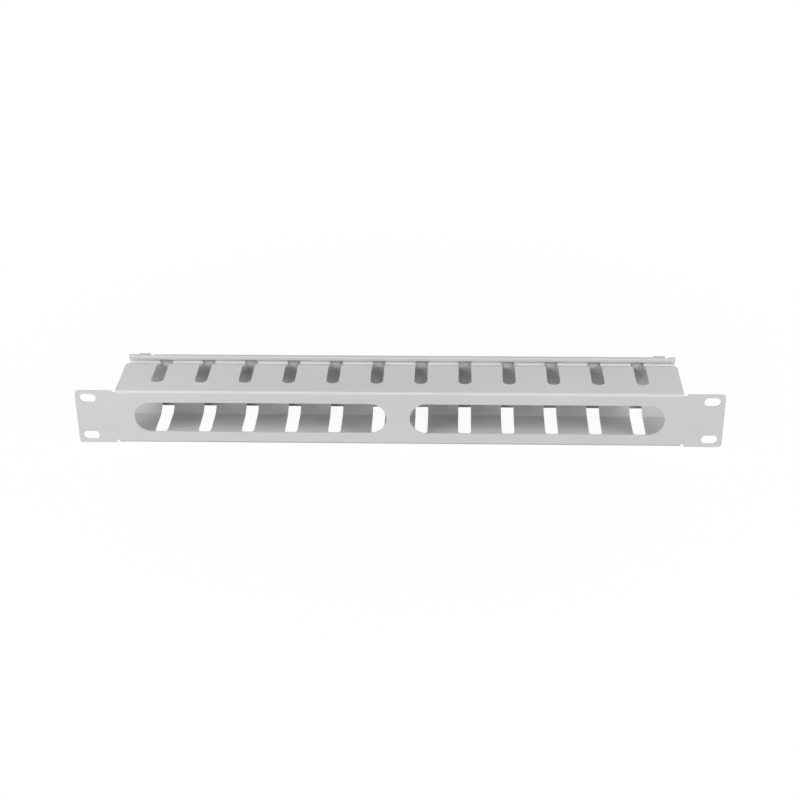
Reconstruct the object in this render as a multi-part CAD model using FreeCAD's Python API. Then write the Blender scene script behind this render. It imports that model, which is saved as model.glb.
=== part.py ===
import FreeCAD
import Part

import math
import os

# Horizontal cable manager for a 19 inch rack, one unit high, in two folded steel sheets.
#
# duct_body: a rack panel with two long cable windows. Its top and bottom edges fold over into two
#            plates, which slots divide into fingers. Past their flat part the fingers close in on
#            each other, and each ends in a short upright lip.
# cover:     a shallow channel that closes the duct's open side. Its two edges turn in behind the
#            finger lips, so the cover runs along them and comes off over either end.
#
# Frame: millimetres. X runs along the panel, Y from the rack mounting face into the duct, Z up.
# The origin is the centre of the rack mounting face.

# Rack panel
PANEL_WIDTH = 484.0
PANEL_HEIGHT = 44.2
EAR_WIDTH = 30.6                # panel past each end of the duct
EAR_CORNER_RADIUS = 2.5
RACK_SLOT_INSET_X = 9.45        # panel edge to slot centre, for slots 465.1 apart
RACK_SLOT_INSET_Z = 6.225       # the same above and below, for slots 31.75 apart
RACK_SLOT_LENGTH = 12.2
RACK_SLOT_WIDTH = 7.1

# Cable windows in the panel, one each side of a bridge
WINDOW_HEIGHT = 25.0
WINDOW_BRIDGE = 17.3
WINDOW_END_LAND = 12.8          # panel between a window and the end of the duct

# Duct body sheet
BODY_SHEET = 1.2
BODY_INSIDE_BEND = 0.8
FLAT_DEPTH = 44.5               # mounting face to the line where the fingers close in
LIP_DEPTH = 59.9                # mounting face to the near face of the lips
FINGER_DROP = 7.0               # how far the fingers close in
RELIEF_WIDTH = 2.6              # notches that free each fold from the ears
RELIEF_DEPTH = 1.9

# Finger slots, the same in the top and the bottom plate
SLOT_COUNT = 12
SLOT_WIDTH = 9.8
SLOT_START = 14.5               # mounting face to the rounded end of the slots
END_FINGER_WIDTH = 23.7
LIP_CORNER_RADIUS = 1.5

# Cover sheet
COVER_SHEET = 1.0
COVER_INSIDE_BEND = 0.5
COVER_RETURN = 3.2              # height of the turned-in edges, over the bend
COVER_CORNER_RADIUS = 1.5
COVER_GAP = 0.35                # between the cover and the finger lips, all round
COVER_OVERHANG = 0.4            # cover past each end of the duct

# Small upright tabs on the cover's top edge, each with a relief notch beside it
TAB_END_LAND = 7.8              # end of the cover to the nearer side of a tab
TAB_WIDTH = 9.0
TAB_RISE = 0.45
TAB_CORNER_RADIUS = 0.35
TAB_NOTCH_WIDTH = 2.6

# Worked out from the sizes above
HALF_HEIGHT = PANEL_HEIGHT / 2
DUCT_WIDTH = PANEL_WIDTH - 2 * EAR_WIDTH
HALF_DUCT = DUCT_WIDTH / 2
RACK_SLOT_SPACING_X = PANEL_WIDTH - 2 * RACK_SLOT_INSET_X
RACK_SLOT_SPACING_Z = PANEL_HEIGHT - 2 * RACK_SLOT_INSET_Z
LIP_ROOT = HALF_HEIGHT - FINGER_DROP
LIP_TOP = HALF_HEIGHT - COVER_SHEET - COVER_GAP
COVER_NEAR = LIP_DEPTH - COVER_GAP - COVER_SHEET
COVER_FAR = LIP_DEPTH + BODY_SHEET + COVER_GAP + COVER_SHEET
RETURN_EDGE = HALF_HEIGHT - COVER_RETURN
SLOT_SPAN = DUCT_WIDTH - 2 * END_FINGER_WIDTH
SLOT_PITCH = (SLOT_SPAN - SLOT_WIDTH) / (SLOT_COUNT - 1)
SLOT_CENTRES = [(i - (SLOT_COUNT - 1) / 2) * SLOT_PITCH for i in range(SLOT_COUNT)]
WINDOW_LENGTH = HALF_DUCT - WINDOW_BRIDGE / 2 - WINDOW_END_LAND
WINDOW_CENTRE = WINDOW_BRIDGE / 2 + WINDOW_LENGTH / 2
COVER_LENGTH = DUCT_WIDTH + 2 * COVER_OVERHANG
TAB_CENTRE = COVER_LENGTH / 2 - TAB_END_LAND - TAB_WIDTH / 2
OVERCUT = 5.0                   # how far a cutting tool runs past the sheet

X_AXIS = FreeCAD.Vector(1, 0, 0)
Y_AXIS = FreeCAD.Vector(0, 1, 0)
Z_AXIS = FreeCAD.Vector(0, 0, 1)


def block(low, high):
    """Box between two opposite corners."""
    size = [b - a for a, b in zip(low, high)]
    return Part.makeBox(*size, FreeCAD.Vector(*low))


def mirrored(points):
    """A profile given for the top half, run on through its mirror image below."""
    return points + [(y, -z) for y, z in reversed(points)]


def folded_sheet(face_points, thickness, inside_bend, width):
    """Sheet of even thickness whose outer face follows face_points, each (y, z), with round folds.

    The points run so that the sheet lies on their left. A fold towards the sheet has the larger
    radius on the outer face, and a fold away from it the smaller one.
    """
    points = [FreeCAD.Vector(-width / 2, y, z) for y, z in face_points]
    edges = []
    start = points[0]
    for before, corner, after in zip(points, points[1:], points[2:]):
        incoming = (corner - before).normalize()
        outgoing = (after - corner).normalize()
        turn = incoming.getAngle(outgoing)
        towards_sheet = incoming.cross(outgoing).x > 0
        radius = inside_bend + (thickness if towards_sheet else 0)
        setback = radius * math.tan(turn / 2)
        to_centre = (outgoing - incoming).normalize()
        arc_start = corner - incoming * setback
        arc_end = corner + outgoing * setback
        arc_middle = corner + to_centre * (radius / math.cos(turn / 2) - radius)
        edges.append(Part.makeLine(start, arc_start))
        edges.append(Part.Arc(arc_start, arc_middle, arc_end).toShape())
        start = arc_end
    edges.append(Part.makeLine(start, points[-1]))
    outer = Part.Wire(edges)
    section = outer.makeOffset2D(-thickness, fill=True, openResult=True)
    return section.extrude(X_AXIS * width)


def round_slot(length, width, centre, along, across, depth):
    """Cutter for a round-ended slot: length along one axis, width across it, depth past both."""
    normal = along.cross(across)
    reach = along * (length / 2 - width / 2)
    side = across * (width / 2)
    tip = along * (length / 2)
    base = centre - normal * (depth / 2)
    edges = [
        Part.makeLine(base - reach - side, base + reach - side),
        Part.Arc(base + reach - side, base + tip, base + reach + side).toShape(),
        Part.makeLine(base + reach + side, base - reach + side),
        Part.Arc(base - reach + side, base - tip, base - reach - side).toShape(),
    ]
    return Part.Face(Part.Wire(edges)).extrude(normal * depth)


def edges_along(shape, axis, chosen):
    """Straight edges parallel to an axis whose middle point passes the test."""
    found = []
    for edge in shape.Edges:
        if isinstance(edge.Curve, Part.Line):
            direction = (edge.Vertexes[-1].Point - edge.Vertexes[0].Point).normalize()
            if abs(direction.dot(axis)) > 0.999 and chosen(edge.CenterOfMass):
                found.append(edge)
    return found


def make_duct_body():
    outer_face = mirrored([
        (LIP_DEPTH, LIP_TOP),
        (LIP_DEPTH, LIP_ROOT),
        (FLAT_DEPTH, HALF_HEIGHT),
        (0, HALF_HEIGHT),
    ])
    body = folded_sheet(outer_face, BODY_SHEET, BODY_INSIDE_BEND, DUCT_WIDTH)
    body = body.fuse(make_ears())
    body = body.cut(Part.makeCompound(finger_slots()))
    body = body.cut(Part.makeCompound(windows() + rack_slots()))
    body = body.removeSplitter()
    lip_corners = edges_along(body, Y_AXIS, lambda p: p.y > LIP_DEPTH and abs(p.z) > LIP_TOP - 0.01)
    return body.makeFillet(LIP_CORNER_RADIUS, lip_corners)


def make_ears():
    ears = []
    for side in (-1, 1):
        inner = side * HALF_DUCT
        outer = side * PANEL_WIDTH / 2
        ear = block((min(inner, outer), 0, -HALF_HEIGHT), (max(inner, outer), BODY_SHEET, HALF_HEIGHT))
        corners = edges_along(ear, Y_AXIS, lambda p: abs(p.x - outer) < 0.01)
        ear = ear.makeFillet(EAR_CORNER_RADIUS, corners)
        for end in (-1, 1):
            edge = end * HALF_HEIGHT
            notch_x = sorted((inner, inner + side * RELIEF_WIDTH))
            notch_z = sorted((edge - end * RELIEF_DEPTH, edge + end * OVERCUT))
            low = (notch_x[0], -OVERCUT, notch_z[0])
            high = (notch_x[1], BODY_SHEET + OVERCUT, notch_z[1])
            ear = ear.cut(block(low, high))
        ears.append(ear)
    return ears


def finger_slots():
    """One cutter for each slot, through both plates and out past the lips."""
    length = 2 * (LIP_DEPTH + BODY_SHEET + OVERCUT - SLOT_START)
    depth = PANEL_HEIGHT + 2 * OVERCUT
    centre_y = SLOT_START + length / 2
    return [
        round_slot(length, SLOT_WIDTH, FreeCAD.Vector(x, centre_y, 0), Y_AXIS, X_AXIS, depth)
        for x in SLOT_CENTRES
    ]


def windows():
    depth = BODY_SHEET + 2 * OVERCUT
    return [
        round_slot(WINDOW_LENGTH, WINDOW_HEIGHT, X_AXIS * (side * WINDOW_CENTRE), X_AXIS, Z_AXIS, depth)
        for side in (-1, 1)
    ]


def rack_slots():
    depth = BODY_SHEET + 2 * OVERCUT
    cutters = []
    for side in (-1, 1):
        for end in (-1, 1):
            centre = FreeCAD.Vector(side * RACK_SLOT_SPACING_X / 2, 0, end * RACK_SLOT_SPACING_Z / 2)
            cutters.append(round_slot(RACK_SLOT_LENGTH, RACK_SLOT_WIDTH, centre, X_AXIS, Z_AXIS, depth))
    return cutters


def make_cover():
    outer_face = mirrored([
        (COVER_NEAR, RETURN_EDGE),
        (COVER_NEAR, HALF_HEIGHT),
        (COVER_FAR, HALF_HEIGHT),
    ])
    outer_face.reverse()
    cover = folded_sheet(outer_face, COVER_SHEET, COVER_INSIDE_BEND, COVER_LENGTH)
    return_corners = edges_along(cover, Y_AXIS, lambda p: abs(abs(p.z) - RETURN_EDGE) < 0.01)
    cover = cover.makeFillet(COVER_CORNER_RADIUS, return_corners)
    for side in (-1, 1):
        tab_low = side * TAB_CENTRE - TAB_WIDTH / 2
        tab_high = tab_low + TAB_WIDTH
        cover = cover.cut(tab_notch(tab_high))
        cover = cover.fuse(upright_tab(tab_low, tab_high))
    return cover.removeSplitter()


def tab_notch(start_x):
    """Cutter beside a tab: through the fold between the web and the flange, up to the return."""
    low = (start_x, COVER_NEAR + COVER_SHEET, HALF_HEIGHT - COVER_SHEET - COVER_INSIDE_BEND)
    high = (start_x + TAB_NOTCH_WIDTH, COVER_FAR + OVERCUT, HALF_HEIGHT + OVERCUT)
    return block(low, high)


def upright_tab(low_x, high_x):
    """Tab in the plane of the cover's web, standing a little above the fold."""
    low = (low_x, COVER_FAR - COVER_SHEET, HALF_HEIGHT - COVER_SHEET)
    high = (high_x, COVER_FAR, HALF_HEIGHT + TAB_RISE)
    tab = block(low, high)
    top_corners = edges_along(tab, Y_AXIS, lambda p: p.z > HALF_HEIGHT)
    return tab.makeFillet(TAB_CORNER_RADIUS, top_corners)


def export(node, shape):
    print(node, "solids", len(shape.Solids), "valid", shape.isValid(), "volume", round(shape.Volume, 1))
    shape.exportStep("parts/" + node + ".step")


os.makedirs("parts", exist_ok=True)
export("duct_body", make_duct_body())
export("cover", make_cover())
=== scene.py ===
import math

import bpy
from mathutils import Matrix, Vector


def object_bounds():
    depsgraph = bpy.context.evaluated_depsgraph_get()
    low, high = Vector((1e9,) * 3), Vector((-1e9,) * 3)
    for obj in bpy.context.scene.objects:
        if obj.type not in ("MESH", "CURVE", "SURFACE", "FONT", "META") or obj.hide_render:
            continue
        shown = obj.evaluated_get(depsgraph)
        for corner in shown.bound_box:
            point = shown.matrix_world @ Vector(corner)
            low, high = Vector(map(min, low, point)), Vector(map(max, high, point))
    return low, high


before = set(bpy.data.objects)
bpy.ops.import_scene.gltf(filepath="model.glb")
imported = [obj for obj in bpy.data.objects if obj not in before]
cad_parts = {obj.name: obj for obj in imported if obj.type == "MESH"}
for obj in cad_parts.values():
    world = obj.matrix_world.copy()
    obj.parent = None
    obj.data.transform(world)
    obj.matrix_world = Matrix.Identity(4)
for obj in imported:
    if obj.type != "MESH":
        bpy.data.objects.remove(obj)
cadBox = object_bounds()
print("frame loaded:", ", ".join(sorted(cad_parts)))


# Shader helpers

mixSockets = {"factor": 0, "first": 6, "second": 7, "result": 2}    # a Mix node's numbers for colours


class Value:
    # A number that a node puts out. Sums and products of values add their own Math nodes.
    def __init__(self, paint, socket):
        self.paint = paint
        self.socket = socket

    def maths(self, operation, other):
        node = self.paint.node("ShaderNodeMath", {"operation": operation}, {0: self, 1: other})
        return Value(self.paint, node.outputs[0])

    def __add__(self, other):
        return self.maths("ADD", other)

    def __sub__(self, other):
        return self.maths("SUBTRACT", other)

    def __mul__(self, other):
        return self.maths("MULTIPLY", other)

    def larger(self, other):
        return self.maths("MAXIMUM", other)

    def smaller(self, other):
        return self.maths("MINIMUM", other)

    __radd__ = __add__


class Paint:
    # The nodes of one material, or of the world.
    def __init__(self, owner):
        owner.use_nodes = True
        self.tree = owner.node_tree
        self.tree.nodes.clear()

    def node(self, kind, settings=None, values=None):
        made = self.tree.nodes.new(kind)
        for name, setting in (settings or {}).items():
            setattr(made, name, setting)
        for socket, value in (values or {}).items():
            if isinstance(value, Value):
                value = value.socket
            if isinstance(value, bpy.types.NodeSocket):
                self.tree.links.new(value, made.inputs[socket])
            else:
                made.inputs[socket].default_value = value
        return made

    def value(self, node, output=0):
        return Value(self, node.outputs[output])

    def blend(self, factor, first, second):
        # From the first colour, where the factor is 0, to the second, where it is 1.
        mix = self.node("ShaderNodeMix", {"data_type": "RGBA"}, {
            mixSockets["factor"]: factor,
            mixSockets["first"]: first,
            mixSockets["second"]: second,
        })
        return mix.outputs[mixSockets["result"]]

    def noise(self, place, scale, detail, roughness):
        return self.value(self.node("ShaderNodeTexNoise", values={
            "Vector": place, "Scale": scale, "Detail": detail, "Roughness": roughness,
        }))


def seenDirectly(paint):
    # 1 for what the camera sees, in the open, in a reflection or through glass,
    # and 0 for light on its way round
    path = paint.node("ShaderNodeLightPath")
    camera = paint.value(path, "Is Camera Ray")
    glossy = paint.value(path, "Is Glossy Ray")
    through = paint.value(path, "Is Transmission Ray")
    return camera.larger(glossy).larger(through)


# Camera and light

cameraLook = {
    "lens": 70.47,
    "place": (0.04346, -1.02410, 0.56747),
    "turn": (61.720, 0.620, 2.008),         # degrees
}

lightLook = {
    "surround": 0.02,                       # faint even light from all round
    "surroundColour": (1.0, 1.0, 1.0, 1.0),
    "distance": 1.5,
    "softboxes": {                          # degrees round from the front and up, width, height, watts
        "leftKey": (-50, 38, 0.7, 0.7, 14.1),
        "leftLow": (-45, 12, 1.0, 0.22, 6.0),
        "rightKey": (62, 28, 0.7, 0.7, 16.6),
        "leftBack": (-138, 8, 1.0, 0.22, 8.4),
        "rightBack": (138, 8, 1.0, 0.22, 7.0),
    },
}


def addCamera():
    bpy.ops.object.camera_add(
        location=cameraLook["place"],
        rotation=[math.radians(angle) for angle in cameraLook["turn"]],
    )
    camera = bpy.context.object
    camera.name = "photographer"
    camera.data.lens = cameraLook["lens"]
    bpy.context.scene.camera = camera


def addSoftbox(name, around, up, width, height, power):
    around, up = math.radians(around), math.radians(up)
    way = Vector((math.sin(around) * math.cos(up), -math.cos(around) * math.cos(up), math.sin(up)))
    place = way * lightLook["distance"]
    bpy.ops.object.light_add(type="AREA", location=place)
    lamp = bpy.context.object
    lamp.name = name
    lamp.rotation_euler = (-place).to_track_quat("-Z", "Y").to_euler()      # facing the origin
    lamp.data.shape = "RECTANGLE"
    lamp.data.size = width
    lamp.data.size_y = height
    lamp.data.energy = power


def makeWorld():
    world = bpy.data.worlds.new("studio")
    bpy.context.scene.world = world
    paint = Paint(world)
    strength = lightLook["surround"]
    background = paint.node("ShaderNodeBackground", values={
        "Color": lightLook["surroundColour"],
        "Strength": strength + seenDirectly(paint) * (1 - strength),
    })
    paint.node("ShaderNodeOutputWorld", values={"Surface": background.outputs[0]})


bpy.context.scene.view_settings.view_transform = "Standard"
addCamera()
for name, softbox in lightLook["softboxes"].items():
    addSoftbox(name, *softbox)
makeWorld()
print("camera, softboxes and surround made")


# Floor

floorLook = {
    "size": 8.0,
    "shown": (0.95, 0.95, 0.95, 1.0),       # its colour to the camera
    "bounce": (0.40, 0.40, 0.40, 1.0),      # its colour to the light that it throws back
    "glow": 0.93,                           # how far the camera sees it as plain white by the object
    "clearing": 0.14,                       # and how much more of it for each metre away
}


def floorMaterial():
    material = bpy.data.materials.new("paleFloor")
    paint = Paint(material)
    seen = seenDirectly(paint)
    place = paint.node("ShaderNodeTexCoord").outputs["Object"]
    away = paint.value(paint.node("ShaderNodeVectorMath", {"operation": "LENGTH"}, {0: place}), "Value")
    glow = (floorLook["glow"] + away * floorLook["clearing"]).smaller(1.0)
    matt = paint.node("ShaderNodeBsdfDiffuse", values={
        "Color": paint.blend(seen, floorLook["bounce"], floorLook["shown"]),
    })
    white = paint.node("ShaderNodeEmission")
    mixed = paint.node("ShaderNodeMixShader", values={
        0: seen * glow,
        1: matt.outputs[0],
        2: white.outputs[0],
    })
    paint.node("ShaderNodeOutputMaterial", values={"Surface": mixed.outputs[0]})
    return material


def makeFloor():
    bpy.ops.mesh.primitive_plane_add(size=floorLook["size"], location=(0, 0, cadBox[0].z))
    floor = bpy.context.object
    floor.name = "floor"
    floor.data.materials.append(floorMaterial())


makeFloor()
print("floor made")


# Powder-coated sheet steel

bodyCoat = {
    "colour": (0.605, 0.605, 0.597),
    "offset": (0.0, 0.0, 0.0),              # metres by which the grain is shifted
    "roughness": 0.58,
}

coverCoatWithPaintedShade = {
    # the cover has the body's powder coat; this colour is set about a tenth darker as painted shade, to
    # tone down the light on the cover's edge strip
    "colour": (0.54, 0.54, 0.533),
    "offset": (3.1, 1.7, 0.4),
    "roughness": 0.56,
}

noiseMiddle = 0.5                           # what a noise gives on average

coatGrain = {
    "drift": (14.0, 2.0, 0.5),              # slow change of tone: scale, detail, roughness
    "speckle": (1100.0, 3.0, 0.65),         # fine grain
    "peel": (560.0, 1.5, 0.45),             # orange peel
    "driftTone": 1.3,                       # how strongly each one changes the tone
    "speckleTone": 1.5,
    "toneSpread": 0.05,                     # darkest and lightest tone, either side of the colour
    "speckleHeight": 0.15,                  # beside the peel's 1
    "bumpStrength": 0.45,
    "bumpDistance": 0.00010,
    "speckleRoughness": 0.3,
    "refraction": 1.5,
}


def powderCoat(name, look):
    material = bpy.data.materials.new(name)
    paint = Paint(material)
    place = paint.node("ShaderNodeTexCoord").outputs["Object"]
    shift = paint.node("ShaderNodeMapping", values={"Vector": place, "Location": look["offset"]})
    shifted = shift.outputs[0]
    speckle = paint.noise(shifted, *coatGrain["speckle"])
    peel = paint.noise(shifted, *coatGrain["peel"])
    drift = paint.noise(shifted, *coatGrain["drift"]) - noiseMiddle
    fleck = speckle - noiseMiddle
    darkest, lightest = [
        tuple(channel * share for channel in look["colour"]) + (1.0,)
        for share in (1 - coatGrain["toneSpread"], 1 + coatGrain["toneSpread"])
    ]
    # 0 is the darkest tone, 1 the lightest, and 0.5 the plain colour
    tone = drift * coatGrain["driftTone"] + fleck * coatGrain["speckleTone"] + 0.5
    bump = paint.node("ShaderNodeBump", values={
        "Strength": coatGrain["bumpStrength"],
        "Distance": coatGrain["bumpDistance"],
        "Height": peel + speckle * coatGrain["speckleHeight"],
    })
    shader = paint.node("ShaderNodeBsdfPrincipled", values={
        "Base Color": paint.blend(tone, darkest, lightest),
        "Roughness": look["roughness"] + fleck * coatGrain["speckleRoughness"],
        "Normal": bump.outputs[0],
        "IOR": coatGrain["refraction"],
    })
    paint.node("ShaderNodeOutputMaterial", values={"Surface": shader.outputs[0]})
    return material


def coatNode(node, material):
    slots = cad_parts[node].data.materials
    slots.clear()
    slots.append(material)


coatNode("duct_body", powderCoat("bodyPowderCoat", bodyCoat))
# the cover's material is a darker copy of the body's coat, the difference being painted shade
coatNode("cover", powderCoat("coverPowderCoatWithPaintedShade", coverCoatWithPaintedShade))
print("sheets coated")
